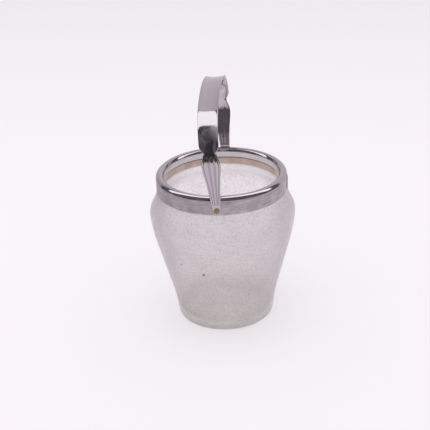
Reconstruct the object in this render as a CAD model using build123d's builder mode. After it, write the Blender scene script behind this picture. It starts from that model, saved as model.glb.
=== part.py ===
"""Ice bucket: a frosted glass urn with a metal collar round its mouth and a
strap bail hung on two brass rivets.

Frame: millimetres, +Z up, origin at the centre of the base where it stands.
The front is -Y, and the two rivets lie on one line along Y.
"""
from build123d import *
import os
from math import cos, radians, sin, sqrt

os.makedirs("parts", exist_ok=True)

# ---- driving dimensions -------------------------------------------------
COLLAR_R = 62.5          # outside of the band
BAND_BOTTOM_Z = 131.8
BAND_TOP_Z = 145.2
SHEET = 0.6              # collar and band sheet
CEMENT = 1.9             # plaster between the neck and the band
SKIRT_BOTTOM_Z = 140.7   # lower edge of the collar inside the mouth
BASE_R = 47.0
SHOULDER_R = 70.0
SHOULDER_Z = 110.0
WALL = 4.2               # glass wall
FLOOR = 6.0              # glass floor
PIVOT_Z = 137.1          # height of the rivets
RIVET_SHANK_R = 1.6
RIVET_HEAD_R = 2.9
STRAP_THICK = 1.2
STRAP_HALF = 8.8         # half the width of the strap over the arch
STRAP_TROUGH = 1.9       # how far the edges stand above the middle
ARCH_RISE = 32.0         # from the foot of the arch to the crown
ARM_HALF = 8.4           # half the widest part of an arm
WAIST_HALF = 5.8
LEAN = 3.3               # degrees the bail leans towards -X as stored

# ---- named clearances ---------------------------------------------------
GROOVE = 0.4             # between the band and the rolled top
SKIRT_GAP = 0.3          # collar skirt to the inside of the neck
ROLL_GAP = 0.2           # inside of the roll to the glass lip
RUNNING = 0.05           # arm hole round the rivet shank, on radius
SHAKE = 0.1              # play of the arm between washer and rivet head

# ---- derived stack, from the axis outwards ------------------------------
BAND_IN_R = COLLAR_R - SHEET
NECK_R = BAND_IN_R - CEMENT
NECK_IN_R = NECK_R - WALL
SKIRT_R = NECK_IN_R - SKIRT_GAP - SHEET
ROLL_TUBE_R = (COLLAR_R - SKIRT_R) / 2    # the roll spans from skirt to band
ROLL_R = COLLAR_R - ROLL_TUBE_R
ROLL_Z = BAND_TOP_Z + GROOVE
LIP_R = BAND_IN_R - SHEET
LIP_BOTTOM_Z = 142.4
LIP_R_OFF = ROLL_R - NECK_IN_R - WALL / 2
LIP_ROOM = ROLL_TUBE_R - SHEET - WALL / 2 - ROLL_GAP
GLASS_TOP_Z = ROLL_Z + sqrt(LIP_ROOM**2 - LIP_R_OFF**2) + WALL / 2
LEDGE_Z = BAND_BOTTOM_Z + 1.4
CEMENT_BOTTOM_Z = LEDGE_Z + 0.1
CEMENT_TOP_Z = LIP_BOTTOM_Z - 0.3
WASHER_R = 2.7
ARM_IN_Y = COLLAR_R + 1.1 + SHAKE
ARM_OUT_Y = ARM_IN_Y + STRAP_THICK


def ring_section(radius_in, radius_out, z_low, z_high):
    """Rectangle in the XZ plane that turns into a plain ring."""
    with Locations(((radius_in + radius_out) / 2, (z_low + z_high) / 2)):
        Rectangle(radius_out - radius_in, z_high - z_low)


# ---- glass urn ----------------------------------------------------------
FOOT_ROUND = 2.5
with BuildPart() as glass_body:
    with BuildSketch(Plane.XZ) as glass_profile:
        with BuildLine():
            wall_out = Spline(
                (BASE_R + 0.35, FOOT_ROUND),
                (BASE_R + 1.6, 12),
                (BASE_R + 2.9, 20),
                (BASE_R + 6.3, 35),
                (57.3, 50),
                (SHOULDER_R - 8.8, 65),
                (SHOULDER_R - 4.8, 80),
                (SHOULDER_R - 1.5, 96),
                (SHOULDER_R, SHOULDER_Z),
                ((SHOULDER_R + COLLAR_R) / 2 + 1.15, 118),
                (COLLAR_R + 1.9, BAND_BOTTOM_Z - 7.3),
                (COLLAR_R - 0.2, BAND_BOTTOM_Z - 1.5),
                tangents=[(0.13, 1), (-0.18, 1)],
            )
            ledge = TangentArc(wall_out @ 1, (NECK_R, LEDGE_Z), tangent=(-0.6, 1))
            neck_out = Line(ledge @ 1, (NECK_R, GLASS_TOP_Z - WALL / 2))
            lip = TangentArc(neck_out @ 1, (NECK_IN_R, GLASS_TOP_Z - WALL / 2), tangent=(0, 1))
            neck_in = Line(lip @ 1, (NECK_IN_R, BAND_BOTTOM_Z - 1.3))
            wall_in = Spline(
                neck_in @ 1,
                (NECK_IN_R + 4.8, BAND_BOTTOM_Z - 9.3),
                (SHOULDER_R - WALL, SHOULDER_Z),
                (SHOULDER_R - WALL - 4.4, 82),
                (53.0, 50),
                (45.7, 20),
                (43.4, FLOOR + 5),
                tangents=[(0.0, -1), (-0.12, -1)],
            )
            floor_round = TangentArc(wall_in @ 1, (37.5, FLOOR), tangent=(-0.12, -1))
            floor_in = Line(floor_round @ 1, (0, FLOOR))
            axis_line = Line(floor_in @ 1, (0, 0))
            floor_out = Line(axis_line @ 1, (BASE_R - FOOT_ROUND, 0))
            foot = TangentArc(floor_out @ 1, wall_out @ 0, tangent=(1, 0))
        make_face()
    revolve(axis=Axis.Z)
glass_body.part.label = "glass_body"

# ---- collar: half-round roll, skirt inside, short joggled lip outside ----
with BuildPart() as collar_roll:
    with BuildSketch(Plane.XZ) as roll_profile:
        with Locations((ROLL_R, ROLL_Z)):
            Circle(ROLL_TUBE_R)
            Circle(ROLL_TUBE_R - SHEET, mode=Mode.SUBTRACT)
        with Locations((ROLL_R, ROLL_Z - ROLL_TUBE_R)):
            Rectangle(3 * ROLL_TUBE_R, 2 * ROLL_TUBE_R, mode=Mode.SUBTRACT)
        ring_section(SKIRT_R, SKIRT_R + SHEET, SKIRT_BOTTOM_Z, ROLL_Z + 0.2)
        ring_section(LIP_R, BAND_IN_R, LIP_BOTTOM_Z, ROLL_Z + 0.7)
    revolve(axis=Axis.Z)
collar_roll.part.label = "collar_roll"

# ---- outer band: one strip whose end laps over its start at +X -----------
LAP_HALF_ANGLE = 3.2     # degrees
LAP_STEP = 0.5           # how far the lapped end stands out
with BuildPart() as collar_band:
    with BuildSketch(Plane.XZ) as band_profile:
        ring_section(BAND_IN_R, COLLAR_R, BAND_BOTTOM_Z, BAND_TOP_Z)
    revolve(axis=Axis.Z)
    with BuildSketch(Plane.XZ.rotated((0, 0, -LAP_HALF_ANGLE))) as lap_profile:
        ring_section(COLLAR_R - 0.1, COLLAR_R + LAP_STEP, BAND_BOTTOM_Z, BAND_TOP_Z)
    revolve(axis=Axis.Z, revolution_arc=2 * LAP_HALF_ANGLE)
    with BuildSketch(Plane.XZ) as rivet_hole:
        with Locations((0, PIVOT_Z)):
            Circle(RIVET_SHANK_R)
    extrude(amount=COLLAR_R + 2, both=True, mode=Mode.SUBTRACT)
collar_band.part.label = "collar_band"

# ---- plaster bedding between the neck and the band -----------------------
POCKET_R = 3.1           # room in the plaster round each rivet's tail
POCKET_DEPTH = 1.35
with BuildPart() as rim_cement:
    with BuildSketch(Plane.XZ) as cement_profile:
        ring_section(NECK_R, BAND_IN_R, CEMENT_BOTTOM_Z, CEMENT_TOP_Z)
    revolve(axis=Axis.Z)
    with BuildSketch(Plane.XZ) as cement_pocket:
        with Locations((0, PIVOT_Z)):
            Circle(POCKET_R)
    extrude(amount=COLLAR_R + 2, both=True, mode=Mode.SUBTRACT)
rim_cement.part.label = "rim_cement"

# ---- bail ---------------------------------------------------------------
# The bail is drawn upright in its own leaning frame: w across the strap,
# v up from the rivets, u outwards along Y.
LEAN_COS = cos(radians(LEAN))
LEAN_SIN = sin(radians(LEAN))
ACROSS = (LEAN_COS, 0, LEAN_SIN)
UPWARDS = (-LEAN_SIN, 0, LEAN_COS)
BAIL_FRONT = Plane(origin=(0, 0, PIVOT_Z), x_dir=ACROSS, z_dir=(0, -1, 0))
BAIL_SIDE = Plane(origin=(0, 0, PIVOT_Z), x_dir=(0, 1, 0), z_dir=ACROSS)

ARM_END_R = 4.0
BEND_V = 4.2             # the arm starts to lean out just above the rivet
WIDE_V = 45.5            # widest part of the arm
KNEE_V = 49.5            # above it the arm turns in again
KNEE_Y = ARM_OUT_Y + 6.4
WAIST_V = 58.0
WAIST_Y = KNEE_Y - 0.7
FOOT_V = 64.2            # where the strap has its full width
FOOT_Y = WAIST_Y - 0.1   # bottom of the trough there; its edges stand further out
ROOT = 0.4               # straight length at each end of the arch
PANEL_RISE = 0.45        # raised panel on each arm
PANEL_INSET = 2.0


def arm_side(offset_out, v_low, v_high):
    """Outer face of the rear arm seen from the side, moved outwards."""
    return [
        (ARM_OUT_Y + offset_out, v_low),
        (ARM_OUT_Y + offset_out, BEND_V),
        (KNEE_Y + offset_out, KNEE_V),
        (WAIST_Y + offset_out, v_high),
    ]


def arm_band(inner, outer, v_low, v_high):
    """Outline of one arm's sheet between two offsets from its outer face."""
    face_out = FilletPolyline(*arm_side(outer, v_low, v_high), radius=9)
    face_in = FilletPolyline(*arm_side(inner, v_low, v_high), radius=9)
    Line(face_out @ 0, face_in @ 0)
    Line(face_out @ 1, face_in @ 1)


def strap_section(side, outer_y, half, trough):
    """Outline of a trough-shaped strap slice; side is -1 in front, 1 behind."""
    out = ThreePointArc(
        (-half, side * (outer_y + trough)),
        (0, side * outer_y),
        (half, side * (outer_y + trough)),
    )
    back = ThreePointArc(
        (-half, side * (outer_y + trough - STRAP_THICK)),
        (0, side * (outer_y - STRAP_THICK)),
        (half, side * (outer_y + trough - STRAP_THICK)),
    )
    Line(out @ 0, back @ 0)
    Line(out @ 1, back @ 1)


def bail_level(v):
    """Plane across the strap at height v, with x across and y along +Y."""
    origin = (-LEAN_SIN * v, 0, PIVOT_Z + LEAN_COS * v)
    return Plane(origin=origin, x_dir=ACROSS, z_dir=UPWARDS)


with BuildPart() as raised_panels:
    with BuildSketch(BAIL_SIDE) as panel_side:
        with BuildLine():
            arm_band(-0.3, PANEL_RISE, BEND_V - 1, WAIST_V)
        make_face()
        mirror(about=Plane.YZ)
    extrude(amount=ARM_HALF, both=True)
    with BuildSketch(BAIL_FRONT) as panel_front:
        with BuildLine():
            panel_edge = Spline(
                (2.3, 6.5),
                (2.8, 11),
                (3.9, 25),
                (5.1, 35),
                (ARM_HALF - PANEL_INSET, WIDE_V),
                (5.5, 50.2),
                (3.4, 54),
            )
            panel_top = ThreePointArc(panel_edge @ 1, (0, 56.2), (-3.4, 54))
            panel_foot = ThreePointArc(panel_edge @ 0, (0, 4.7), (-2.3, 6.5))
            mirror(panel_edge, about=Plane.YZ)
        make_face()
    extrude(amount=KNEE_Y + 5, both=True, mode=Mode.INTERSECT)

with BuildPart() as bail_handle:
    with BuildSketch(BAIL_SIDE) as arms_side:
        with BuildLine():
            arm_band(-STRAP_THICK, 0, -ARM_END_R - 1, WAIST_V)
        make_face()
        mirror(about=Plane.YZ)
    extrude(amount=ARM_HALF + 1, both=True)
    with BuildSketch(BAIL_FRONT) as arms_front:
        with BuildLine():
            arm_edge = Spline(
                (ARM_END_R, 0),
                (4.8, 11),
                (5.9, 25),
                (7.1, 35),
                (ARM_HALF, WIDE_V),
                (7.4, 52),
                (WAIST_HALF, WAIST_V),
            )
            arm_end = ThreePointArc(arm_edge @ 0, (0, -ARM_END_R), (-ARM_END_R, 0))
            mirror(arm_edge, about=Plane.YZ)
            Line(arm_edge @ 1, (-WAIST_HALF, WAIST_V))
        make_face()
    extrude(amount=KNEE_Y + 5, both=True, mode=Mode.INTERSECT)
    add(raised_panels.part)
    for side in (-1, 1):
        with BuildSketch(bail_level(WAIST_V - 0.6)) as waist_cut:
            with BuildLine():
                strap_section(side, WAIST_Y, WAIST_HALF, 0.05)
            make_face()
        with BuildSketch(bail_level(FOOT_V)) as foot_cut:
            with BuildLine():
                strap_section(side, FOOT_Y, STRAP_HALF, STRAP_TROUGH)
            make_face()
        loft()
    with BuildLine(BAIL_SIDE) as arch_path:
        Line((FOOT_Y, FOOT_V - ROOT), (FOOT_Y, FOOT_V))
        EllipticalCenterArc(
            (0, FOOT_V),
            FOOT_Y,
            ARCH_RISE,
            start_angle=0,
            arc_size=180,
        )
        Line((-FOOT_Y, FOOT_V), (-FOOT_Y, FOOT_V - ROOT))
    with BuildSketch(bail_level(FOOT_V - ROOT)) as arch_section:
        with BuildLine():
            strap_section(1, FOOT_Y, STRAP_HALF, STRAP_TROUGH)
        make_face()
    sweep(path=arch_path.wires()[0])
    with BuildSketch(BAIL_FRONT) as arm_hole:
        Circle(RIVET_SHANK_R + RUNNING)
    extrude(amount=KNEE_Y + 5, both=True, mode=Mode.SUBTRACT)
bail_handle.part.label = "bail_handle"

# ---- rivets, spacer washers and burr washers -----------------------------
HEAD_Y = ARM_OUT_Y + SHAKE
BURR_R = 2.8
BURR_OUT_Y = sqrt(BAND_IN_R**2 - BURR_R**2)
BURR_IN_Y = BURR_OUT_Y - 0.65
TAIL_Y = BURR_IN_Y - 0.6
TAIL_R = 2.2
WASHER_OUT_Y = ARM_IN_Y - SHAKE
RIVET_SIDE = Plane(origin=(0, 0, PIVOT_Z), x_dir=(0, 1, 0), z_dir=(1, 0, 0))
RIVET_AXIS = Axis((0, 0, PIVOT_Z), (0, 1, 0))


def rivet_profile(side):
    """Half section of a rivet: tail flare, shank, domed head with a dimple."""
    outline = Polyline(
        (side * TAIL_Y, 0),
        (side * TAIL_Y, TAIL_R),
        (side * BURR_IN_Y, TAIL_R),
        (side * BURR_IN_Y, RIVET_SHANK_R),
        (side * HEAD_Y, RIVET_SHANK_R),
        (side * HEAD_Y, RIVET_HEAD_R),
        (side * (HEAD_Y + 0.4), RIVET_HEAD_R),
    )
    dome = ThreePointArc(
        outline @ 1,
        (side * (HEAD_Y + 1.25), 2.05),
        (side * (HEAD_Y + 1.4), 1.15),
    )
    dimple = TangentArc((side * (HEAD_Y + 0.7), 0), dome @ 1, tangent=(0, 1))
    Line(dimple @ 0, outline @ 0)


def facing(side, y):
    """Plane square to the rivets at y, looking outwards on that side."""
    return Plane(origin=(0, side * y, PIVOT_Z), x_dir=(1, 0, 0), z_dir=(0, side, 0))


def washer_ring(radius):
    """Ring that fits on the rivet's shank."""
    Circle(radius)
    Circle(RIVET_SHANK_R, mode=Mode.SUBTRACT)


with BuildPart() as front_rivet:
    with BuildSketch(RIVET_SIDE) as front_rivet_section:
        with BuildLine():
            rivet_profile(-1)
        make_face()
    revolve(axis=RIVET_AXIS)
front_rivet.part.label = "front_rivet"

with BuildPart() as rear_rivet:
    with BuildSketch(RIVET_SIDE) as rear_rivet_section:
        with BuildLine():
            rivet_profile(1)
        make_face()
    revolve(axis=RIVET_AXIS)
rear_rivet.part.label = "rear_rivet"

with BuildPart() as front_washer:
    with BuildSketch(facing(-1, COLLAR_R - 0.5)) as front_washer_face:
        washer_ring(WASHER_R)
    extrude(amount=WASHER_OUT_Y - COLLAR_R + 0.5)
    with BuildSketch(Plane.XY) as front_washer_seat:
        Circle(COLLAR_R)
    extrude(amount=BAND_TOP_Z, mode=Mode.SUBTRACT)
front_washer.part.label = "front_washer"

with BuildPart() as rear_washer:
    with BuildSketch(facing(1, COLLAR_R - 0.5)) as rear_washer_face:
        washer_ring(WASHER_R)
    extrude(amount=WASHER_OUT_Y - COLLAR_R + 0.5)
    with BuildSketch(Plane.XY) as rear_washer_seat:
        Circle(COLLAR_R)
    extrude(amount=BAND_TOP_Z, mode=Mode.SUBTRACT)
rear_washer.part.label = "rear_washer"

with BuildPart() as front_burr:
    with BuildSketch(facing(-1, BURR_IN_Y)) as front_burr_face:
        washer_ring(BURR_R)
    extrude(amount=BURR_OUT_Y - BURR_IN_Y)
front_burr.part.label = "front_burr"

with BuildPart() as rear_burr:
    with BuildSketch(facing(1, BURR_IN_Y)) as rear_burr_face:
        washer_ring(BURR_R)
    extrude(amount=BURR_OUT_Y - BURR_IN_Y)
rear_burr.part.label = "rear_burr"

export_step(glass_body.part, "parts/glass_body.step")
export_step(collar_roll.part, "parts/collar_roll.step")
export_step(collar_band.part, "parts/collar_band.step")
export_step(rim_cement.part, "parts/rim_cement.step")
export_step(bail_handle.part, "parts/bail_handle.step")
export_step(front_rivet.part, "parts/front_rivet.step")
export_step(rear_rivet.part, "parts/rear_rivet.step")
export_step(front_washer.part, "parts/front_washer.step")
export_step(rear_washer.part, "parts/rear_washer.step")
export_step(front_burr.part, "parts/front_burr.step")
export_step(rear_burr.part, "parts/rear_burr.step")
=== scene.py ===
# %% [markdown]
# # A frosted glass ice bucket with a chromed collar and a strap bail
#
# The bucket is a heavy urn of acid-frosted glass. A chromed collar is folded
# over its lip, a satin band is wrapped round the outside and bedded in
# plaster, and a stamped strap bail swings on two brass rivets. The lesson
# builds each visible piece as a surface worked out with numpy, then gives it
# the finish that its real material has.

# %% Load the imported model
import math
import bmesh
import bpy
import numpy as np
from mathutils import Matrix, Vector


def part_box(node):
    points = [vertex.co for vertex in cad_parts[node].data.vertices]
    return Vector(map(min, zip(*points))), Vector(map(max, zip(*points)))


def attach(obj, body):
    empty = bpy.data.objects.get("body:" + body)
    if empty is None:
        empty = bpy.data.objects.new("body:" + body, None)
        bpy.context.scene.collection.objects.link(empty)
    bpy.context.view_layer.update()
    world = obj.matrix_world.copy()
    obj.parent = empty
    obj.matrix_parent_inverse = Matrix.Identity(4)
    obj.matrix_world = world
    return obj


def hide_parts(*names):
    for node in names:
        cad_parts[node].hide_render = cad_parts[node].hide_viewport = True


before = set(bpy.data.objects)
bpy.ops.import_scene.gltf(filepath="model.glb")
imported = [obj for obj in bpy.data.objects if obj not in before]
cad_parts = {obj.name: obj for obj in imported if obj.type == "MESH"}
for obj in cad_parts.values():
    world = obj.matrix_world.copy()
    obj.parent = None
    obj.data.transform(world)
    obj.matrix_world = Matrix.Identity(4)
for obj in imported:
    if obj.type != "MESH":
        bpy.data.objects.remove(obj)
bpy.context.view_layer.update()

MM = 0.001
print("nodes:", sorted(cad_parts))

# %% [markdown]
# ## Small tools
#
# Every new piece is a grid of points: one direction runs round or along the
# piece and the other runs across it. A few helpers cover them all: a smooth
# line through measured points, an arc, the length run along a line, a soft
# step, a grid turned into a closed mesh, and an outline spun round the
# vertical axis.


# %% Lines, arcs and soft steps
def smooth_line(points, count):
    """Natural cubic through the points, taken at even steps of chord length.

    Between two knots the curve is the cubic whose second derivative runs
    straight from one knot's value to the next; those values solve the
    tridiagonal system that makes the slopes agree, and are nought at the ends.
    """
    p = np.asarray(points, float)
    t = run_along(p)
    h = np.diff(t)
    n = len(p)
    system = np.eye(n)
    right = np.zeros_like(p)
    inner = np.arange(1, n - 1)
    system[inner, inner - 1] = h[:-1]
    system[inner, inner] = 2 * (h[:-1] + h[1:])
    system[inner, inner + 1] = h[1:]
    slope = np.diff(p, axis=0) / h[:, None]
    right[1:-1] = 6 * np.diff(slope, axis=0)
    bend = np.linalg.solve(system, right)
    s = np.linspace(0, t[-1], count)
    k = np.clip(np.searchsorted(t, s) - 1, 0, n - 2)
    a = (t[k + 1] - s)[:, None]
    b = (s - t[k])[:, None]
    w = h[k][:, None]
    cubic = (bend[k] * a**3 + bend[k + 1] * b**3) / (6 * w)
    line = (p[k] / w - bend[k] * w / 6) * a + (p[k + 1] / w - bend[k + 1] * w / 6) * b
    return cubic + line


def arc(centre, radius, start, stop, count):
    """Points on a circle: the centre plus radius times cosine and sine."""
    a = np.radians(np.linspace(start, stop, count))
    return np.stack([centre[0] + radius * np.cos(a), centre[1] + radius * np.sin(a)], 1)


def run_along(points):
    """Length from the first point to each point: the sum of the straight steps."""
    return np.concatenate([[0], np.cumsum(np.linalg.norm(np.diff(points, axis=0), axis=1))])


def ease(x, low, high):
    """Nought below low, one above high, and 3x^2 - 2x^3 between them."""
    x = np.clip((x - low) / (high - low), 0, 1)
    return x * x * (3 - 2 * x)


# %% A grid of points made into a mesh
def skin(name, grid, round_u, round_v, uv=None, dirt_and_shade=None):
    """Closed quad mesh from a grid of shape (u, v, 3) in millimetres.

    The grid wraps in a direction when its round_ flag is set. Each quad joins
    a point to its neighbours at one step in u, one in v and one in both.
    Points that coincide, as at a pole, are merged, and normals face outwards.
    uv holds the places of the grid lines in u and in v, in millimetres, and the
    last argument holds how dark each point is made, from nought to one: dirt
    along the band's lap, painted shade in the bail's stamping.
    """
    nu, nv = grid.shape[:2]
    iu = np.arange(nu if round_u else nu - 1)
    iv = np.arange(nv if round_v else nv - 1)
    u, v = np.meshgrid(iu, iv, indexing="ij")
    u1, v1 = (u + 1) % nu, (v + 1) % nv
    quads = np.stack([u * nv + v, u1 * nv + v, u1 * nv + v1, u * nv + v1], -1)
    quads = quads.reshape(-1, 4)
    mesh = bpy.data.meshes.new(name)
    mesh.vertices.add(nu * nv)
    mesh.vertices.foreach_set("co", (grid * MM).astype(np.float32).ravel())
    mesh.loops.add(quads.size)
    mesh.loops.foreach_set("vertex_index", quads.astype(np.int32).ravel())
    mesh.polygons.add(len(quads))
    mesh.polygons.foreach_set("loop_start", np.arange(0, quads.size, 4, dtype=np.int32))
    mesh.update(calc_edges=True)
    if uv is not None:
        corner_uv = np.stack(
            [
                np.stack([uv[0][u], uv[1][v]], -1),
                np.stack([uv[0][u + 1], uv[1][v]], -1),
                np.stack([uv[0][u + 1], uv[1][v + 1]], -1),
                np.stack([uv[0][u], uv[1][v + 1]], -1),
            ],
            2,
        )
        layer = mesh.uv_layers.new(name="surface_mm")
        layer.data.foreach_set("uv", corner_uv.astype(np.float32).ravel())
    if dirt_and_shade is not None:
        layer = mesh.attributes.new("dirt_and_shade", "FLOAT", "POINT")
        layer.data.foreach_set("value", dirt_and_shade.astype(np.float32).ravel())
    bm = bmesh.new()
    bm.from_mesh(mesh)
    bmesh.ops.remove_doubles(bm, verts=bm.verts, dist=2e-7)
    bmesh.ops.recalc_face_normals(bm, faces=bm.faces)
    bm.to_mesh(mesh)
    bm.free()
    mesh.polygons.foreach_set("use_smooth", np.ones(len(mesh.polygons), bool))
    piece = bpy.data.objects.new(name, mesh)
    bpy.context.scene.collection.objects.link(piece)
    print(f"{name}: {len(mesh.polygons)} faces")
    return piece


def spun(name, outline, turns, closed):
    """Outline of (radius, height) turned once round +Z.

    A point goes to radius times cosine, radius times sine, height.
    """
    a = np.linspace(0, 2 * np.pi, turns, endpoint=False)
    r, z = outline[:, 0], outline[:, 1]
    grid = np.stack(
        [np.outer(np.cos(a), r), np.outer(np.sin(a), r), np.tile(z, (turns, 1))], -1
    )
    along = run_along(outline)
    uv = (np.linspace(0, 2 * np.pi * r.max(), turns + 1), np.append(along, along[-1] + 1))
    return skin(name, grid, True, closed, uv)


# %% [markdown]
# ## Sizes
#
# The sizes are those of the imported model, in millimetres. The collar stack is
# counted inwards from the outside of the band: band sheet, plaster, glass,
# a hair of clearance, and the collar's skirt. A narrow groove parts the band
# from the roll above it.

# %% Sizes shared by the pieces
collar_low, collar_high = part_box("collar_band")
COLLAR_R = collar_high[1] / MM
BAND_LOW = collar_low[2] / MM
BAND_HIGH = collar_high[2] / MM
SHEET = 0.6
CEMENT = 1.9
WALL = 4.2
SKIRT_GAP = 0.3
BAND_IN = COLLAR_R - SHEET
NECK_OUT = BAND_IN - CEMENT
NECK_IN = NECK_OUT - WALL
SKIRT_R = NECK_IN - SKIRT_GAP - SHEET
ROLL_TUBE = (COLLAR_R - SKIRT_R) / 2
ROLL_R = COLLAR_R - ROLL_TUBE
GROOVE = 0.4
ROLL_Z = BAND_HIGH + GROOVE
glass_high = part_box("glass_body")[1]
GLASS_WIDE = glass_high[1] / MM
GLASS_TOP = glass_high[2] / MM
print(f"collar radius {COLLAR_R:.1f}, band {BAND_LOW:.1f} to {BAND_HIGH:.1f} mm")

# %% [markdown]
# ## The glass urn
#
# The urn was pressed in a mould and then frosted with acid, so its outline is
# one smooth line: a nearly straight foot, a flaring wall, a full shoulder and
# a short neck that hides under the band. It could be a lathe of a bezier
# curve; here the outline is a cubic through (radius, height) pairs, because
# then each radius can be read off and checked. The inside follows the outside
# about 4 mm in, and is well rounded where the wall meets the floor.

# %% Outline of the glass
FOOT_R = 47.0
FOOT_ROUND = 2.5
FLOOR = 4.8
NECK_LOW, NECK_HIGH = 134.0, 140.0
foot = arc((FOOT_R - FOOT_ROUND, FOOT_ROUND), FOOT_ROUND, -90, -8, 8)
wall_out = smooth_line(
    [
        (47.15, 2.3),
        (48.6, 12),
        (49.9, 20),
        (53.3, 35),
        (57.3, 50),
        (61.2, 65),
        (65.2, 80),
        (68.4, 95),
        (69.75, 104),
        (GLASS_WIDE - 0.1, 109.5),
        (69.3, 114),
        (67.3, 118.3),
        (64.6, 124),
        (62.9, 128.6),
        (61.9, 131.2),
        (60.3, 132.9),
    ],
    120,
)
lip_centre = NECK_OUT - WALL / 2
lip = arc((lip_centre, GLASS_TOP - WALL / 2), WALL / 2, 0, 180, 17)
wall_in = smooth_line(
    [
        (NECK_IN, 131.5),
        (NECK_IN + 0.9, 127.5),
        (60.6, 122.5),
        (64.6, 116),
        (65.75, 109.5),
        (64.4, 96),
        (61.4, 82),
        (57.1, 65),
        (53.1, 50),
        (49.2, 35),
        (45.9, 21),
        (44.3, 13.5),
        (42.3, 9.2),
        (39.3, 6.6),
        (35.0, 5.2),
    ],
    110,
)
glass_outline = np.concatenate(
    [
        [[0, 0], [22, 0], [43, 0]],
        foot[:-1],
        wall_out,
        [[NECK_OUT, NECK_LOW], [NECK_OUT, NECK_HIGH]],
        lip,
        [[NECK_IN, NECK_HIGH], [NECK_IN, NECK_LOW]],
        wall_in,
        [[29, FLOOR + 0.02], [18, FLOOR], [0, FLOOR]],
    ]
)
GLASS_TURNS = 256
glass = spun("frosted_urn", glass_outline, GLASS_TURNS, False)
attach(glass, "bucket")
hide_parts("glass_body")

# %% [markdown]
# ## The rolled collar
#
# The collar is one spun piece of chromed brass, 0.6 mm thick: a skirt lies
# against the inside of the neck, the top is a half-round roll over the glass
# lip, and a short lip is tucked behind the band. A bevelled tube would look
# alike, but the section is drawn as sheet, with both faces and rounded
# cut edges, so that it also holds up seen from inside.


# %% Sheet metal sections
def sheet_section(centre_line, thickness, edge_steps=5):
    """Closed outline of a sheet whose middle follows the given line.

    The two faces are the line moved along its normal by half the thickness
    either way, and each cut edge is a half circle of that radius.
    """
    p = np.asarray(centre_line, float)
    d = np.gradient(p, axis=0)
    d /= np.linalg.norm(d, axis=1)[:, None]
    normal = np.stack([-d[:, 1], d[:, 0]], 1)
    half = thickness / 2
    turn = np.linspace(0, np.pi, edge_steps + 2)[1:-1, None]
    end = p[-1] + half * (np.cos(turn) * normal[-1] + np.sin(turn) * d[-1])
    start = p[0] + half * (-np.cos(turn) * normal[0] - np.sin(turn) * d[0])
    return np.concatenate([p + half * normal, end, (p - half * normal)[::-1], start])


# %% Build the collar
SKIRT_LOW = 140.9
LIP_HIGH, LIP_LOW = 144.2, 142.8
COLLAR_TURNS = 320
skirt_mid = SKIRT_R + SHEET / 2
lip_mid = BAND_IN - SHEET / 2
roll_middle = np.concatenate(
    [
        np.linspace((skirt_mid, SKIRT_LOW), (skirt_mid, ROLL_Z - 0.3), 10),
        arc((ROLL_R, ROLL_Z), ROLL_TUBE - SHEET / 2, 180, 0, 48),
        [[COLLAR_R - SHEET * 0.62, ROLL_Z - 0.25], [lip_mid, ROLL_Z - 0.9]],
        np.linspace((lip_mid, LIP_HIGH), (lip_mid, LIP_LOW), 4),
    ]
)
collar = spun("chromed_collar", sheet_section(roll_middle, SHEET), COLLAR_TURNS, True)
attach(collar, "bucket")
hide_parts("collar_roll")

# %% [markdown]
# ## The satin band
#
# The band is a strip wrapped round the neck, and its outer end laps over its
# start. On the real one that end stands out by the thickness of the strip as
# a sharp upright step, and the strip behind it sinks back over a few degrees.
# Two overlapping strips would do, but they would cross where they meet. Here
# one rounded rectangle is carried round the neck, its outer face raised where
# the lap lies, with closer steps there, and grime is marked along the step.

# %% Outline of the band and its lap
LAP_HALF = math.radians(3.1)
LAP_STEP = 0.6
LAP_GRIME = 0.006
BAND_ROUND = 0.18
turn = np.concatenate(
    [
        np.linspace(-LAP_HALF, LAP_HALF, 30),
        np.linspace(LAP_HALF, 2 * np.pi - LAP_HALF, 301)[1:-1],
        [2 * np.pi - LAP_HALF - 0.001],
    ]
)
inner, outer = BAND_IN + BAND_ROUND, COLLAR_R - BAND_ROUND
low, high = BAND_LOW + BAND_ROUND, BAND_HIGH - BAND_ROUND
corners = np.concatenate(
    [
        arc((inner, low), BAND_ROUND, 180, 270, 4),
        arc((outer, low), BAND_ROUND, 270, 360, 4),
        np.linspace((COLLAR_R, BAND_LOW + 1), (COLLAR_R, BAND_HIGH - 1), 12),
        arc((outer, high), BAND_ROUND, 0, 90, 4),
        arc((inner, high), BAND_ROUND, 90, 180, 4),
    ]
)
outer_side = (corners[:, 0] > COLLAR_R - SHEET / 2).astype(float)
wrapped = np.where(turn > np.pi, turn - 2 * np.pi, turn)
rise = np.where(
    np.abs(wrapped) <= LAP_HALF,
    LAP_STEP * np.clip((LAP_HALF - wrapped) / (1.3 * LAP_HALF), 0, 1) ** 0.8,
    0,
)

# %% Build the band
r = corners[None, :, 0] + rise[:, None] * outer_side[None, :]
lap_grime = np.exp(-(((wrapped + LAP_HALF) / LAP_GRIME) ** 2))
band_grid = np.stack(
    [
        np.cos(turn)[:, None] * r,
        np.sin(turn)[:, None] * r,
        np.tile(corners[:, 1], (len(turn), 1)),
    ],
    -1,
)
band_along = run_along(corners)
band = skin(
    "satin_band",
    band_grid,
    True,
    True,
    (
        np.append(turn, turn[0] + 2 * np.pi) * COLLAR_R,
        np.append(band_along, band_along[-1] + SHEET),
    ),
    lap_grime[:, None] * np.ones_like(r),
)
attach(band, "bucket")
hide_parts("collar_band")

# %% [markdown]
# ## The strap bail
#
# The bail is one stamped strip of bright sheet. Each arm is a long feather
# that is rounded round its rivet, has a raised panel with fine flutes running
# along it, and narrows to a waist; above the waist the strip opens into a
# wide shallow trough that arches over the mouth. A flat strip could be bent
# and sculpted, but its flutes would come out uneven. So it is drawn as a
# section carried along a line: the line is the bottom of the trough seen from
# the side, and at each step the section takes its own width and relief.
#
# The bail leans a few degrees, so it is worked out in its own frame: w across
# the strap, v up from the rivets and u outwards, then turned about the
# rivets' axis.

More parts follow.
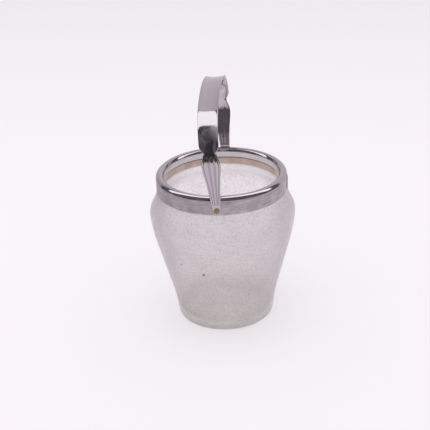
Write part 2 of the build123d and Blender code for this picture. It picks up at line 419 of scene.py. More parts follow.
# %% The bail's line
PIVOT_Z = 137.1
LEAN = math.radians(3.6)
ARM_OUT = 64.9
KNEE_U = 71.3
WAIST_U, WAIST_V = 70.6, 58.0
FOOT_V = 64.2
CROWN_V = 96.2
BEND = (47.9, 89.75)
BAIL_SHEET = 1.2
TIP_V, TIP_HALF = 4.0, 4.05
PANEL_RISE = 0.45

arm_line = smooth_line(
    [
        (ARM_OUT, -TIP_V),
        (ARM_OUT, 2.4),
        (ARM_OUT + 0.25, 6.0),
        (ARM_OUT + 1.6, 15.0),
        (ARM_OUT + 3.1, 25.0),
        (ARM_OUT + 4.6, 35.0),
        (ARM_OUT + 5.9, 44.0),
        (KNEE_U - 0.05, 49.0),
        (KNEE_U - 0.15, 52.5),
        (WAIST_U, WAIST_V),
        (WAIST_U - 0.35, 61.0),
        (WAIST_U - 0.7, FOOT_V),
        (69.3, 68.1),
        (67.9, 72.5),
        (64.9, 77.9),
        (62.6, 80.4),
        (55.8, 85.5),
        (50.7, 88.4),
        BEND,
    ],
    900,
)
arch_line = smooth_line(
    [
        BEND,
        (40.4, 91.6),
        (32.4, 93.3),
        (16.3, 95.5),
        (0.0, CROWN_V),
        (-16.3, 95.5),
        (-32.4, 93.3),
    ],
    900,
)
arch_line = arch_line[arch_line[:, 0] > 0]
rough_half = np.concatenate([arm_line, arch_line[1:], [(0.0, CROWN_V)]])
steps = run_along(rough_half)
total = steps[-1]
end_steps = TIP_V * (1 - np.cos(np.linspace(0, np.pi / 2, 14)[:-1]))
even_steps = np.linspace(TIP_V, total, 260)
station = np.concatenate([end_steps, even_steps])
half_line = np.stack([np.interp(station, steps, rough_half[:, i]) for i in (0, 1)], 1)
v_at = half_line[:, 1]
print(f"half the bail is {total:.0f} mm long")

# %% Widths and relief along the bail
WIDTHS = np.array(
    [
        (0, TIP_HALF),
        (5, 4.3),
        (11, 4.75),
        (18, 5.25),
        (25, 5.9),
        (32, 6.75),
        (39, 7.75),
        (43.5, 8.3),
        (46.5, 8.4),
        (50, 8.0),
        (53.5, 7.0),
        (56, 6.25),
        (58, 5.85),
        (59.6, 6.1),
        (61.6, 7.3),
        (64.2, 8.5),
        (68, 8.75),
    ]
)
width_line = smooth_line(WIDTHS, 400)
half_width = np.interp(v_at, width_line[:, 0], width_line[:, 1])
rounded_tip = np.sqrt(np.clip(TIP_HALF**2 - (v_at * TIP_HALF / TIP_V) ** 2, 0, None))
half_width = np.where(v_at < 0, rounded_tip, half_width)
past_foot = np.clip((station - np.interp(FOOT_V, v_at, station)) / 40, 0, 1)
half_width = half_width + 0.45 * past_foot**2

TROUGH, SHALLOWER, SHALLOW_V = 1.95, 0.85, 83.0
trough_depth = TROUGH * ease(v_at, WAIST_V - 1.5, FOOT_V + 1.3)
trough_depth = trough_depth - SHALLOWER * np.exp(-(((v_at - SHALLOW_V) / 8) ** 2))
panel_height = PANEL_RISE * ease(v_at, 4.6, 6.6) * (1 - ease(v_at, 53.6, 56.2))
print(f"trough up to {trough_depth.max():.2f} mm deep, panel {PANEL_RISE} mm high")


# %% [markdown]
# ### Relief of the strap
#
# The press drew the panel outwards and the flutes back into it. The relief is
# a height added to the outer face. The same shapes give painted shade, darker
# in the flutes and along the panel's edge.


# %% Relief and painted shade
FLUTE_DEPTH = 0.3
FLUTE_FADE = (2.0, 3.2)
PANEL_EDGE = (1.6, 2.1)


def flutes(w, half):
    """A raised cosine across the strap: pitch 0.55 of the half width, 1.6 mm or more."""
    return 0.5 - 0.5 * np.cos(2 * np.pi * w / np.maximum(0.55 * half, 1.6))


def relief(w, half, trough, panel, v):
    """Height of the outer face above its line at distance w from the middle.

    The trough is its depth times the cube of |w| over half the width, so its
    floor is nearly flat. The panel is a plateau that rises between 1.6 and
    2.1 mm inside the edge, with its lower end rounded, and the flutes are sunk
    in it and fade towards its edge. A low bead, a bell curve, follows the rim.
    """
    inset = half - np.abs(w)
    plateau = ease(inset, *PANEL_EDGE)
    tip_low = ease(v - 4.7 + 1.2 * (1 - (w / 2.3) ** 2), 0, 1.5)
    on_panel = plateau * panel / PANEL_RISE
    groove = -FLUTE_DEPTH * flutes(w, half) * ease(inset, *FLUTE_FADE) * on_panel
    bead = 0.12 * np.exp(-(((inset - 0.5) / 0.35) ** 2)) * ease(v, 3, 8)
    hollow = trough * (np.abs(w) / np.maximum(half, 0.5)) ** 3
    return hollow + panel * plateau * tip_low + groove + bead


def shade_in_relief(w, half, panel):
    """Painted shade in the stamping: a bell curve at the panel's edge, plus the flutes."""
    inset = half - np.abs(w)
    at_edge = np.exp(-(((inset - 1.65) / 0.24) ** 2))
    in_flute = 0.2 * flutes(w, half) ** 3 * ease(inset, *FLUTE_FADE)
    return (0.45 * at_edge + in_flute) * panel / PANEL_RISE


# %% [markdown]
# ### The section at every step
#
# One turn of the section runs across the outer face, round one edge, back
# across the inner face and round the other edge. The strap is as thick as its
# edges are round, so the inner face lies one sheet behind the outer one.

# %% Both faces and both edges of the strap
ACROSS_STEPS = 61
t = np.linspace(-1, 1, ACROSS_STEPS)
edge_r = np.minimum(BAIL_SHEET / 2, half_width * 0.9)
flat_half = half_width - edge_r
tangent = np.gradient(half_line, axis=0)
tangent /= np.maximum(np.linalg.norm(tangent, axis=1), 1e-9)[:, None]
outward = np.stack([tangent[:, 1], -tangent[:, 0]], 1)

round_edge = np.linspace(np.pi / 2, -np.pi / 2, 9)[1:-1]
w_out = flat_half[:, None] * t[None, :]
w_edge = flat_half[:, None] + edge_r[:, None] * np.cos(round_edge)[None, :]
depth_edge = edge_r[:, None] * (np.sin(round_edge)[None, :] - 1)
w_all = np.concatenate([w_out, w_edge, w_out[:, ::-1], -w_edge[:, ::-1]], 1)
depth = np.concatenate(
    [
        np.zeros_like(w_out),
        depth_edge,
        -2 * edge_r[:, None] * np.ones_like(w_out),
        depth_edge[:, ::-1],
    ],
    1,
)
lift = relief(
    w_all, half_width[:, None], trough_depth[:, None], panel_height[:, None], v_at[:, None]
)
height = lift + depth

# %% [markdown]
# ### The whole bail
#
# The rear half is the front half's mirror image across the mouth. Both are put
# in one grid from rivet to rivet, which is then leaned about the rivets' axis.

# %% Front half, rear half and the lean
half_u = half_line[:, 0:1] + outward[:, 0:1] * height
half_v = half_line[:, 1:2] + outward[:, 1:2] * height
front_y = -half_u
rear_y = half_u[::-1]
bail_w = np.concatenate([w_all, w_all[::-1][1:]])
bail_y = np.concatenate([front_y, rear_y[1:]])
bail_v = np.concatenate([half_v, half_v[::-1][1:]])
bail_grid = np.stack(
    [
        bail_w * math.cos(LEAN) - bail_v * math.sin(LEAN),
        bail_y,
        PIVOT_Z + bail_v * math.cos(LEAN) + bail_w * math.sin(LEAN),
    ],
    -1,
)
run = np.concatenate([station, 2 * total - station[::-1][1:]])
across = np.arange(bail_grid.shape[1] + 1) * 0.3
# Painted shade in the flutes and along the panel's edge, on the outer face only.
relief_shade = shade_in_relief(w_all, half_width[:, None], panel_height[:, None])
relief_shade[:, ACROSS_STEPS:] = 0
relief_shade = np.concatenate([relief_shade, relief_shade[::-1][1:]])
bail = skin("strap_bail", bail_grid, False, True, (run, across), relief_shade)
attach(bail, "bail")
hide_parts("bail_handle")

# %% [markdown]
# ## Finishes
#
# One function turns a hex colour, as a paint chart gives it, into the linear
# values that the renderer works in, and one adds a node with its settings and
# its links. Each finish is a node tree named for the real material.


# %% Colour and node helpers
def linear(hex_colour):
    """sRGB hex to linear RGBA: c / 12.92 when small, else ((c + 0.055) / 1.055)^2.4."""
    c = np.array([int(hex_colour[i : i + 2], 16) for i in (1, 3, 5)]) / 255
    c = np.where(c <= 0.04045, c / 12.92, ((c + 0.055) / 1.055) ** 2.4)
    return (*c.tolist(), 1.0)


def add(tree, kind, settings=None, links=None, **values):
    """Add a node; settings are its properties, values its sockets, links its inputs."""
    node = tree.nodes.new(kind)
    for key, value in (settings or {}).items():
        setattr(node, key, value)
    for key, value in values.items():
        node.inputs[key.replace("_", " ")].default_value = value
    for key, source in (links or {}).items():
        tree.links.new(source, node.inputs[key])
    return node


def finish(name):
    """New material with an empty node tree, and its output node."""
    material = bpy.data.materials.new(name)
    material.use_nodes = True
    tree = material.node_tree
    tree.nodes.clear()
    return material, tree, tree.nodes.new("ShaderNodeOutputMaterial")


def wear(piece, material):
    """Give a piece one finish all over."""
    piece.data.materials.clear()
    piece.data.materials.append(material)


# %% [markdown]
# ### Acid-frosted glass
#
# Frosting leaves a skin of tiny pits, so the glass passes light but blurs
# it, and the mould leaves pebbles about 2 mm across. Up in the neck the plaster
# shows as an opaque tan strip, which falls into painted shadow where the collar's
# skirt begins. The foot's tint is a little warmer, and painted shade darkens the
# foot's outside near the rim and its inner corner.
# The acid's finest pits also scatter light that grazes the surface, which a
# faint sheen stands for. Real soda-lime glass has an IOR of about 1.52. With it
# the thick, rough wall came out darker than the object, so the IOR and the
# specular level are set lower.

#
# The colour is made in steps: first the pebbles, which are noise of their real
# size, and a tint that grows warmer downwards.

# %% Frosted glass: pebbles and tint
PEBBLE_MM, CLOUD_MM = 1.9, 14.0
TINT_TOP_Z = 85.0
frosted, tree, out = finish("acid_frosted_glass")
at = add(tree, "ShaderNodeTexCoord").outputs["Object"]
height_at = add(tree, "ShaderNodeSeparateXYZ", links={"Vector": at}).outputs["Z"]
low_tint = add(
    tree,
    "ShaderNodeMapRange",
    {"interpolation_type": "SMOOTHSTEP"},
    {"Value": height_at},
    From_Min=0.0,
    From_Max=TINT_TOP_Z * MM,
)
pebble = add(
    tree,
    "ShaderNodeTexNoise",
    links={"Vector": at},
    Scale=1 / (PEBBLE_MM * MM),
    Detail=3.0,
    Roughness=0.7,
)
cloud = add(
    tree, "ShaderNodeTexNoise", links={"Vector": at}, Scale=1 / (CLOUD_MM * MM), Detail=4.0
)
body_tint = add(
    tree,
    "ShaderNodeMix",
    {"data_type": "RGBA"},
    {"Factor": low_tint.outputs["Result"]},
)
body_tint.inputs[6].default_value = linear("#FFFBF9")
body_tint.inputs[7].default_value = linear("#FFFBFE")
drift = add(
    tree,
    "ShaderNodeMath",
    {"operation": "MULTIPLY_ADD"},
    {0: cloud.outputs["Fac"], 2: pebble.outputs["Fac"]},
)
drift.inputs[1].default_value = 0.22
grain = add(
    tree,
    "ShaderNodeMapRange",
    links={"Value": drift.outputs[0]},
    From_Min=0.47,
    From_Max=0.75,
    To_Min=0.71,
    To_Max=1.07,
)

# %% [markdown]
# Painted shade darkens the foot's outside from the bottom up, most near the
# rim, and the inner corner where the wall meets the floor. Both are drawn from
# the distance to the axis and the height, so that they run evenly round the urn.

# %% Frosted glass: painted shade on the foot and in the inner corner
FOOT_SHADE_Z = 15.0
CORNER_R, CORNER_Z = 41.5, 8.0
level = add(tree, "ShaderNodeVectorMath", {"operation": "MULTIPLY"}, {0: at})
level.inputs[1].default_value = (1.0, 1.0, 0.0)
from_axis = add(
    tree, "ShaderNodeVectorMath", {"operation": "LENGTH"}, {0: level.outputs[0]}
)
near_rim = add(
    tree,
    "ShaderNodeMapRange",
    {"interpolation_type": "SMOOTHSTEP"},
    {"Value": from_axis.outputs["Value"]},
    From_Min=44.5 * MM,
    From_Max=46.5 * MM,
    To_Min=1.0,
    To_Max=0.52,
)
# Painted shade: the foot's outside is darker towards the bottom, down to about half near
# the rim.
foot_painted_shade = add(
    tree,
    "ShaderNodeMapRange",
    {"interpolation_type": "SMOOTHSTEP"},
    {"Value": height_at, "To Min": near_rim.outputs["Result"]},
    From_Min=0.0,
    From_Max=FOOT_SHADE_Z * MM,
    To_Max=1.0,
)
section_at = add(
    tree,
    "ShaderNodeCombineXYZ",
    links={"X": from_axis.outputs["Value"], "Y": height_at},
)
from_corner = add(
    tree, "ShaderNodeVectorMath", {"operation": "DISTANCE"}, {0: section_at.outputs[0]}
)
from_corner.inputs[1].default_value = (CORNER_R * MM, CORNER_Z * MM, 0.0)
# Painted shade: the inner corner where the wall meets the floor is darker.
corner_painted_shade = add(
    tree,
    "ShaderNodeMapRange",
    {"interpolation_type": "SMOOTHSTEP"},
    {"Value": from_corner.outputs["Value"]},
    From_Min=0.5 * MM,
    From_Max=4.5 * MM,
    To_Min=0.78,
    To_Max=1.0,
)
painted_foot_shade = add(
    tree,
    "ShaderNodeMath",
    {"operation": "MULTIPLY"},
    {0: foot_painted_shade.outputs["Result"], 1: corner_painted_shade.outputs["Result"]},
)
shade = add(
    tree,
    "ShaderNodeMath",
    {"operation": "MULTIPLY"},
    {0: grain.outputs["Result"], 1: painted_foot_shade.outputs[0]},
)
grained = add(
    tree,
    "ShaderNodeVectorMath",
    {"operation": "SCALE"},
    {0: body_tint.outputs[2], "Scale": shade.outputs[0]},
)

# %% [markdown]
# Above the band's lower edge the glass is backed by plaster, so it turns tan
# and opaque there. The stain wanders in patches of about a centimetre.

# %% Frosted glass: the plaster strip in the neck
STRIP_LOW = (132.6, 133.8)
SKIRT_SHADE = (138.8, 140.2)
tan_low = add(
    tree,
    "ShaderNodeMapRange",
    {"interpolation_type": "SMOOTHSTEP"},
    {"Value": height_at},
    From_Min=STRIP_LOW[0] * MM,
    From_Max=STRIP_LOW[1] * MM,
)
stain = add(
    tree,
    "ShaderNodeMapRange",
    links={"Value": cloud.outputs["Fac"]},
    From_Min=0.35,
    From_Max=0.62,
)
cement_tone = add(
    tree, "ShaderNodeMix", {"data_type": "RGBA"}, {"Factor": stain.outputs["Result"]}
)
cement_tone.inputs[6].default_value = linear("#C8B3A4")
cement_tone.inputs[7].default_value = linear("#DCCAB9")
coloured = add(
    tree, "ShaderNodeMix", {"data_type": "RGBA"}, {"Factor": tan_low.outputs["Result"]}
)
skirt_shadow = add(
    tree,
    "ShaderNodeMapRange",
    {"interpolation_type": "SMOOTHSTEP"},
    {"Value": height_at},
    From_Min=SKIRT_SHADE[0] * MM,
    From_Max=SKIRT_SHADE[1] * MM,
    To_Min=1.0,
    To_Max=0.25,
)
shaded_cement = add(
    tree,
    "ShaderNodeVectorMath",
    {"operation": "SCALE"},
    {0: cement_tone.outputs[2], "Scale": skirt_shadow.outputs["Result"]},
)
tree.links.new(grained.outputs[0], coloured.inputs[6])
tree.links.new(shaded_cement.outputs[0], coloured.inputs[7])

# %% [markdown]
# Two brown specks sit on the outside of the wall. Each is a ball round a point
# on the surface, soft at its rim: the place and the radius are in millimetres.

# %% Frosted glass: brown specks
SPECKS = [((-14.9, -60.5, 69.0), 1.5), ((-36.4, -52.9, 76.1), 0.9)]
speckled = coloured.outputs[2]
opaque = tan_low.outputs["Result"]
for centre, radius in SPECKS:
    away = add(tree, "ShaderNodeVectorMath", {"operation": "DISTANCE"}, {0: at})
    away.inputs[1].default_value = [c * MM for c in centre]
    dot = add(
        tree,
        "ShaderNodeMapRange",
        {"interpolation_type": "SMOOTHSTEP"},
        {"Value": away.outputs["Value"]},
        From_Min=0.5 * radius * MM,
        From_Max=radius * MM,
        To_Min=1.0,
        To_Max=0.0,
    ).outputs["Result"]
    stained = add(tree, "ShaderNodeMix", {"data_type": "RGBA"}, {"Factor": dot})
    tree.links.new(speckled, stained.inputs[6])
    stained.inputs[7].default_value = linear("#4A3524")
    speckled = stained.outputs[2]
    opaque = add(
        tree, "ShaderNodeMath", {"operation": "MAXIMUM"}, {0: opaque, 1: dot}
    ).outputs[0]

# %% [markdown]
# The plaster and the specks let no light through, and the rest passes nearly
# all of it. The same pebbles that shade the glass also raise its surface.

# %% Frosted glass: the shader
clear = add(
    tree, "ShaderNodeMapRange", links={"Value": opaque}, To_Min=0.94, To_Max=0.0
)
bumps = add(
    tree,
    "ShaderNodeBump",
    links={"Height": pebble.outputs["Fac"]},
    Strength=0.35,
    Distance=0.25 * MM,
)
glass_skin = add(
    tree,
    "ShaderNodeBsdfPrincipled",
    links={
        "Base Color": speckled,
        "Normal": bumps.outputs["Normal"],
        "Transmission Weight": clear.outputs["Result"],
    },
    Roughness=0.28,
    IOR=1.38,
)
glass_skin.inputs["Specular IOR Level"].default_value = 0.1
glass_skin.inputs["Sheen Weight"].default_value = 0.45
glass_skin.inputs["Sheen Tint"].default_value = linear("#FFF8FC")
glass_skin.inputs["Sheen Roughness"].default_value = 0.4
tree.links.new(glass_skin.outputs[0], out.inputs["Surface"])
wear(glass, frosted)
print(f"frosted glass: pebbles {PEBBLE_MM} mm across, {len(SPECKS)} brown specks")

# %% [markdown]
# ### Chromed collar and bail
#
# Chrome plate is nearly neutral, bright and mirror-smooth. What tells the eye
# that it is old is a faint haze of rubbing marks, so the roughness wanders
# within a narrow low range, and the surface waves slightly as pressed sheet
# does. The bail also has painted shade in its stamping, and one scuffed spot.


# %% Chrome
SCUFF_FULL, SCUFF_FADED = 2.0, 10.0


def chrome(name, tint, rough_low, rough_high, wave, scuff=None):
    """Plated sheet: a metal whose roughness follows a fine cloudy haze.

    With a scuff, the piece also has painted shade in its stamping, and a rubbed
    spot that is roughest at its middle and fades out over 10 mm.
    """
    material, tree, out = finish(name)
    at = add(tree, "ShaderNodeTexCoord").outputs["Object"]
    haze = add(
        tree,
        "ShaderNodeTexNoise",
        links={"Vector": at},
        Scale=1 / (7 * MM),
        Detail=5.0,
        Roughness=0.6,
    )
    roughness = add(
        tree,
        "ShaderNodeMapRange",
        links={"Value": haze.outputs["Fac"]},
        From_Min=0.35,
        From_Max=0.7,
        To_Min=rough_low,
        To_Max=rough_high,
    ).outputs["Result"]
    colour_link = {}
    if scuff:
        away = add(tree, "ShaderNodeVectorMath", {"operation": "DISTANCE"}, {0: at})
        away.inputs[1].default_value = scuff
        rubbed = add(
            tree,
            "ShaderNodeMapRange",
            {"interpolation_type": "SMOOTHSTEP"},
            {"Value": away.outputs["Value"]},
            From_Min=SCUFF_FULL * MM,
            From_Max=SCUFF_FADED * MM,
            To_Min=0.45,
            To_Max=0.0,
        )
        roughness = add(
            tree,
            "ShaderNodeMath",
            {"operation": "ADD"},
            {0: roughness, 1: rubbed.outputs["Result"]},
        ).outputs[0]
        # The darker tone is painted shade in the bail's stamping.
        dirt_and_shade = add(tree, "ShaderNodeAttribute", {"attribute_name": "dirt_and_shade"})
        tone = add(
            tree, "ShaderNodeMix", {"data_type": "RGBA"}, {"Factor": dirt_and_shade.outputs["Fac"]}
        )
        tone.inputs[6].default_value = linear(tint)
        tone.inputs[7].default_value = linear("#5C5558")
        colour_link = {"Base Color": tone.outputs[2]}
    ripple = add(
        tree, "ShaderNodeTexNoise", links={"Vector": at}, Scale=1 / (16 * MM), Detail=1.0
    )
    waves = add(
        tree,
        "ShaderNodeBump",
        links={"Height": ripple.outputs["Fac"]},
        Strength=wave,
        Distance=0.3 * MM,
    )
    metal = add(
        tree,
        "ShaderNodeBsdfPrincipled",
        links={"Roughness": roughness, "Normal": waves.outputs["Normal"], **colour_link},
        Metallic=1.0,
    )
    metal.inputs["Base Color"].default_value = linear(tint)
    tree.links.new(metal.outputs[0], out.inputs["Surface"])
    return material


CHROME_TINT = "#D6D2D6"
SCUFF_W, SCUFF_U, SCUFF_V = 8.0, 66.5, 77.0
scuff_x = SCUFF_W - SCUFF_V * math.sin(LEAN)
scuff_at = (scuff_x * MM, -SCUFF_U * MM, (PIVOT_Z + SCUFF_V - 1) * MM)
wear(collar, chrome("chrome_plate_collar", CHROME_TINT, 0.05, 0.12, 0.1))
wear(bail, chrome("chrome_plate_bail", CHROME_TINT, 0.07, 0.16, 0.15, scuff_at))
print("chrome: collar and bail, with one scuff at the bend of the bail")

# %% [markdown]
# ### Satin band
#
# The band was rubbed round with abrasive before it was wrapped, which leaves
# lines along the strip. The surface map is in millimetres, so noise that is
# long in one direction and short in the other draws them.

# %% Satin steel: rubbed lines and patches
satin, tree, out = finish("satin_rubbed_steel")
strip = add(tree, "ShaderNodeUVMap", {"uv_map": "surface_mm"}).outputs["UV"]
stretch = add(tree, "ShaderNodeMapping", links={"Vector": strip}, Scale=(0.045, 1.6, 1.0))
lines = add(
    tree,
    "ShaderNodeTexNoise",
    links={"Vector": stretch.outputs["Vector"]},
    Scale=1.0,
    Detail=5.0,
    Roughness=0.7,
)
patches = add(
    tree,
    "ShaderNodeTexNoise",
    links={"Vector": strip},
    Scale=0.09,
    Detail=4.0,
    Roughness=0.6,
)
mixed = add(
    tree,
    "ShaderNodeMath",
    {"operation": "MULTIPLY_ADD"},
    {0: patches.outputs["Fac"], 2: lines.outputs["Fac"]},
)
mixed.inputs[1].default_value = 0.5

# %% [markdown]
# Where the abrasive bit deeper the strip is paler and duller, and the step of
# the lap holds a dark line of dirt. Metallic is below one, because scratches
# and a film of grime scatter part of the light as a matt surface does.

# %% Satin steel: tone, dirty lap and shader
rubbed = add(
    tree,
    "ShaderNodeMapRange",
    links={"Value": mixed.outputs[0]},
    From_Min=0.5,
    From_Max=1.0,
    To_Min=0.24,
    To_Max=0.42,
)
streaks = add(
    tree,
    "ShaderNodeMapRange",
    links={"Value": mixed.outputs[0]},
    From_Min=0.55,
    From_Max=0.98,
)
tone = add(
    tree, "ShaderNodeMix", {"data_type": "RGBA"}, {"Factor": streaks.outputs["Result"]}
)
tone.inputs[6].default_value = linear("#9C969B")
tone.inputs[7].default_value = linear("#E9E1E7")
lap_line = add(tree, "ShaderNodeAttribute", {"attribute_name": "dirt_and_shade"})
dirty = add(
    tree,
    "ShaderNodeMix",
    {"data_type": "RGBA"},
    {"Factor": lap_line.outputs["Fac"]},
)
tree.links.new(tone.outputs[2], dirty.inputs[6])
dirty.inputs[7].default_value = linear("#3E383B")
line_bumps = add(
    tree,
    "ShaderNodeBump",
    links={"Height": lines.outputs["Fac"]},
    Strength=0.3,
    Distance=0.03 * MM,
)
steel = add(
    tree,
    "ShaderNodeBsdfPrincipled",
    links={
        "Base Color": dirty.outputs[2],
        "Roughness": rubbed.outputs["Result"],
        "Normal": line_bumps.outputs["Normal"],
    },
    Metallic=0.62,
)
tree.links.new(steel.outputs[0], out.inputs["Surface"])
wear(band, satin)
print("satin steel: lines run along the strip, and the lap has a dirty edge")

# %% [markdown]
# ### Brass, plaster and washers
#
# The rivets are plain brass gone dull, the spacers are plated steel, and the
# plaster is a yellowed cement that shows as a thin line at the band's edge.


# %% Finishes of the small parts
def worn(name, light, dark, grain_mm, roughness, metallic):
    """A matt or worn stuff: two tones mixed by noise of a real grain size."""
    material, tree, out = finish(name)
    at = add(tree, "ShaderNodeTexCoord").outputs["Object"]
    spots = add(
        tree,
        "ShaderNodeTexNoise",
        links={"Vector": at},
        Scale=1 / (grain_mm * MM),
        Detail=4.0,
        Roughness=0.65,
    )
    tone = add(
        tree, "ShaderNodeMix", {"data_type": "RGBA"}, {"Factor": spots.outputs["Fac"]}
    )
    tone.inputs[6].default_value = linear(dark)
    tone.inputs[7].default_value = linear(light)
    pits = add(
        tree,
        "ShaderNodeBump",
        links={"Height": spots.outputs["Fac"]},
        Strength=0.3,
        Distance=0.08 * MM,
    )
    stuff = add(
        tree,
        "ShaderNodeBsdfPrincipled",
        links={"Base Color": tone.outputs[2], "Normal": pits.outputs["Normal"]},
        Roughness=roughness,
        Metallic=metallic,
    )
    tree.links.new(stuff.outputs[0], out.inputs["Surface"])
    return material


brass = worn("tarnished_brass", "#E4D2AC", "#9C8462", 1.4, 0.42, 0.8)
plaster = worn("yellowed_plaster", "#B3A48B", "#8D7D64", 2.5, 0.85, 0.0)
spacer = worn("dull_plated_steel", "#BDB9BA", "#8F8B8C", 1.5, 0.38, 1.0)
for node_name, material in {
    "front_rivet": brass,
    "rear_rivet": brass,
    "front_burr": brass,
    "rear_burr": brass,
    "front_washer": spacer,
    "rear_washer": spacer,
    "rim_cement": plaster,
}.items():
    wear(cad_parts[node_name], material)
print("small parts: brass rivets and burrs, steel washers, plaster")

# %% [markdown]
# ## Floor, light and camera
#
# The floor glows a little, a painted light that nearly washes out its
# shadows; the glow dims towards the back, and a painted shadow dims it under
# the bucket. Diffuse light comes evenly from all round. What the chrome mirrors
# is a grey table below and behind, a dark room in front, and a wide white panel
# overhead. The sky is therefore three skies: one for mirror reflections, one
# seen straight by the camera, and an even one for everything else.

# %% Floor
FLOOR_HALF = 6000.0
corner_x, corner_y = np.meshgrid(
    [-FLOOR_HALF, FLOOR_HALF], [-FLOOR_HALF, FLOOR_HALF], indexing="ij"
)
floor_grid = np.stack([corner_x, corner_y, np.zeros_like(corner_x)], -1)
floor = skin("studio_floor", floor_grid, False, False)
if floor.data.polygons[0].normal.z < 0:
    floor.data.flip_normals()
floor.visible_glossy = False

# %% Finish of the floor: a painted glow, with a painted shadow under the bucket
glowing_floor, tree, out = finish("floor_painted_glow")
sheet = add(tree, "ShaderNodeBsdfPrincipled", Roughness=0.9)
sheet.inputs["Base Color"].default_value = linear("#999697")
# The floor's emission is painted light, and it dims towards the back.
sheet.inputs["Emission Color"].default_value = linear("#FCF9FB")
depth_at = add(tree, "ShaderNodeTexCoord").outputs["Object"]
depth = add(tree, "ShaderNodeSeparateXYZ", links={"Vector": depth_at})
glow = add(
    tree,
    "ShaderNodeMapRange",
    links={"Value": depth.outputs["Y"]},
    From_Min=0.3,
    From_Max=1.4,
    To_Min=0.6,
    To_Max=0.52,
)
# Painted shadow: the glow is lower under the bucket's foot.
flat = add(tree, "ShaderNodeVectorMath", {"operation": "LENGTH"}, {0: depth_at})
shadow_under_bucket = add(
    tree,
    "ShaderNodeMapRange",
    {"interpolation_type": "SMOOTHSTEP"},
    {"Value": flat.outputs["Value"]},
    From_Min=43 * MM,
    From_Max=47.5 * MM,
    To_Min=0.8,
    To_Max=1.0,
)
painted_floor_glow = add(
    tree,
    "ShaderNodeMath",
    {"operation": "MULTIPLY"},
    {0: glow.outputs["Result"], 1: shadow_under_bucket.outputs["Result"]},
)
tree.links.new(painted_floor_glow.outputs[0], sheet.inputs["Emission Strength"])
tree.links.new(sheet.outputs[0], out.inputs["Surface"])
wear(floor, glowing_floor)
print(f"floor {2 * FLOOR_HALF * MM:.0f} m wide")

# %% [markdown]
# ### The sky that the metal mirrors
#
# A direction's Y picks the dark room in front from the grey behind it, its Z
# picks the table from the room, and its X tilts the greys so that the right is
# brighter than the left. The panel is a band across the top: its edges are
# straight lines overhead, so they are drawn on Y divided by Z.

# %% Sky: dark room in front, grey behind
world = bpy.data.worlds.new("soft_tent")
bpy.context.scene.world = world
world.use_nodes = True
tree = world.node_tree
tree.nodes.clear()
sky_at = add(tree, "ShaderNodeTexCoord").outputs["Generated"]
way = add(tree, "ShaderNodeSeparateXYZ", links={"Vector": sky_at})
GREY, DARK, PANEL = 0.62, 0.07, 1.3

front_dark = add(
    tree,
    "ShaderNodeMapRange",
    {"interpolation_type": "SMOOTHSTEP"},
    {"Value": way.outputs["Y"]},
    From_Min=0.56,
    From_Max=0.42,
)
above_table = add(
    tree,
    "ShaderNodeMapRange",
    {"interpolation_type": "SMOOTHSTEP"},
    {"Value": way.outputs["Z"]},
    From_Min=-0.37,
    From_Max=-0.31,
)
dark_zone = add(
    tree,
    "ShaderNodeMath",
    {"operation": "MULTIPLY"},
    {0: front_dark.outputs["Result"], 1: above_table.outputs["Result"]},
)
aside = add(tree, "ShaderNodeMath", {"operation": "ABSOLUTE"}, {0: way.outputs["X"]})
table_side = add(
    tree,
    "ShaderNodeMapRange",
    links={"Value": way.outputs["X"]},
    From_Min=-0.8,
    From_Max=0.8,
    To_Min=GREY,
    To_Max=1.5 * GREY,
)
table_grey = add(
    tree,
    "ShaderNodeMapRange",
    links={"Value": way.outputs["Z"], "To Max": table_side.outputs["Result"]},
    From_Min=0.1,
    From_Max=-0.35,
    To_Min=GREY,
)
wall_side = add(
    tree,
    "ShaderNodeMapRange",
    links={"Value": way.outputs["X"]},
    From_Min=-0.8,
    From_Max=0.8,
    To_Min=0.64 * GREY,
    To_Max=0.88 * GREY,
)
side_grey = add(
    tree,
    "ShaderNodeMapRange",
    links={
        "Value": aside.outputs[0],
        "To Min": table_grey.outputs["Result"],
        "To Max": wall_side.outputs["Result"],
    },
    From_Min=0.0,
    From_Max=0.7,
)

# %% Sky: uneven dark of the room
clutter = add(
    tree,
    "ShaderNodeTexNoise",
    links={"Vector": sky_at},
    Scale=2.2,
    Detail=1.0,
)
dark_level = add(
    tree,
    "ShaderNodeMapRange",
    links={"Value": clutter.outputs["Fac"]},
    From_Min=0.35,
    From_Max=0.7,
    To_Min=0.5 * DARK,
    To_Max=2.6 * DARK,
)
grey_level = add(
    tree,
    "ShaderNodeMapRange",
    links={
        "Value": dark_zone.outputs[0],
        "To Min": side_grey.outputs["Result"],
        "To Max": dark_level.outputs["Result"],
    },
)

# %% Sky: white panel overhead
lean_back = add(
    tree,
    "ShaderNodeMath",
    {"operation": "DIVIDE"},
    {0: way.outputs["Y"], 1: way.outputs["Z"]},
)
panel_front = add(
    tree,
    "ShaderNodeMapRange",
    {"interpolation_type": "SMOOTHSTEP"},
    {"Value": lean_back.outputs[0]},
    From_Min=-0.24,
    From_Max=-0.18,
)
panel_back = add(
    tree,
    "ShaderNodeMapRange",
    {"interpolation_type": "SMOOTHSTEP"},
    {"Value": lean_back.outputs[0]},
    From_Min=0.47,
    From_Max=0.44,
)
panel_up = add(
    tree,
    "ShaderNodeMath",
    {"operation": "GREATER_THAN"},
    {0: way.outputs["Z"]},
)
panel_up.inputs[1].default_value = 0.2
panel_band = add(
    tree,
    "ShaderNodeMath",
    {"operation": "MULTIPLY"},
    {0: panel_front.outputs["Result"], 1: panel_back.outputs["Result"]},
)
panel = add(
    tree,
    "ShaderNodeMath",
    {"operation": "MULTIPLY"},
    {0: panel_band.outputs[0], 1: panel_up.outputs[0]},
)
mirrored = add(
    tree,
    "ShaderNodeMix",
    {"data_type": "FLOAT"},
    {"Factor": panel.outputs[0], "A": grey_level.outputs["Result"]},
)
mirrored.inputs[3].default_value = PANEL
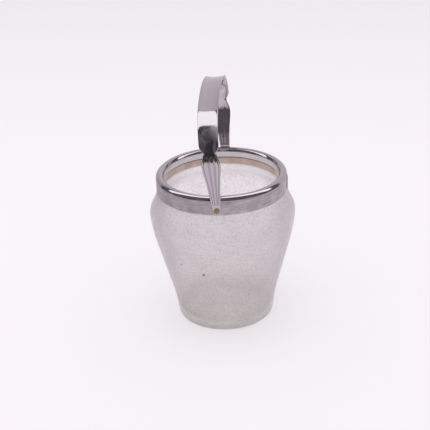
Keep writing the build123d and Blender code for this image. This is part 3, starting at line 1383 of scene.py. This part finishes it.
sky_tint = add(
    tree, "ShaderNodeMix", {"data_type": "RGBA"}, {"Factor": panel.outputs[0]}
)
sky_tint.inputs[6].default_value = linear("#FFF4FD")
sky_tint.inputs[7].default_value = linear("#FFFBFE")
mirror_sky = add(
    tree,
    "ShaderNodeBackground",
    links={"Color": sky_tint.outputs[2], "Strength": mirrored.outputs[0]},
)

# %% Sky: which ray sees which
even_sky = add(tree, "ShaderNodeBackground", Strength=0.96)
even_sky.inputs["Color"].default_value = linear("#FCF8FC")
seen_sky = add(tree, "ShaderNodeBackground", Strength=1.0)
seen_sky.inputs["Color"].default_value = linear("#F8F3F7")
path = add(tree, "ShaderNodeLightPath")
lighting = add(
    tree,
    "ShaderNodeMixShader",
    links={
        0: path.outputs["Is Glossy Ray"],
        1: even_sky.outputs[0],
        2: mirror_sky.outputs[0],
    },
)
whole_sky = add(
    tree,
    "ShaderNodeMixShader",
    links={
        0: path.outputs["Is Camera Ray"],
        1: lighting.outputs[0],
        2: seen_sky.outputs[0],
    },
)
add(tree, "ShaderNodeOutputWorld", links={"Surface": whole_sky.outputs[0]})
print(f"sky: grey {GREY}, dark {DARK}, panel {PANEL}")

# %% [markdown]
# ### Lamp
#
# One weak, wide lamp overhead gives the floor under the bucket its faint
# shadow. The metal doesn't mirror it, because the sky already holds the panel.

# %% Lamp overhead
panel_light = bpy.data.lights.new("overhead_panel", "AREA")
panel_light.shape = "RECTANGLE"
panel_light.size = 1.6
panel_light.size_y = 1.0
panel_light.energy = 6.0
panel_light.color = linear("#FFFAFD")[:3]
panel_lamp = bpy.data.objects.new("overhead_panel", panel_light)
panel_lamp.location = (-0.15, 0.1, 1.5)
panel_lamp.visible_glossy = False
bpy.context.scene.collection.objects.link(panel_lamp)
print(f"lamp {panel_light.size} by {panel_light.size_y} m, {panel_light.energy} W")

# %% [markdown]
# ### Camera
#
# The camera stands a metre away, a little to the right of the front rivet, and
# looks down at the middle of the urn. Its focal length is counted in widths of
# the sensor, and the small shifts that frame the view are shares of that width.

# %% Camera
AZIMUTH, ELEVATION, ROLL = math.radians(4.77), math.radians(26.11), math.radians(2.19)
DISTANCE = 1.0
FOCAL_WIDTHS = 2.38488
TARGET_Z = 95.0
camera_data = bpy.data.cameras.new("viewer")
camera_data.sensor_width = 36.0
camera_data.lens = camera_data.sensor_width * FOCAL_WIDTHS
camera_data.shift_x = -0.01884
camera_data.shift_y = 0.01535
camera = bpy.data.objects.new("viewer", camera_data)
target = np.array([0.0, 0.0, TARGET_Z * MM])
back = np.array(
    [
        math.cos(ELEVATION) * math.sin(AZIMUTH),
        -math.cos(ELEVATION) * math.cos(AZIMUTH),
        math.sin(ELEVATION),
    ]
)
look = Vector((-back).tolist()).to_track_quat("-Z", "Y").to_matrix()
camera.matrix_world = Matrix.Translation(
    Vector((target + DISTANCE * back).tolist())
) @ (look @ Matrix.Rotation(-ROLL, 3, "Z")).to_4x4()
bpy.context.scene.collection.objects.link(camera)
bpy.context.scene.camera = camera
bpy.context.scene.view_settings.view_transform = "Standard"
print(f"camera {DISTANCE:.1f} m away, lens {camera_data.lens:.1f} mm")
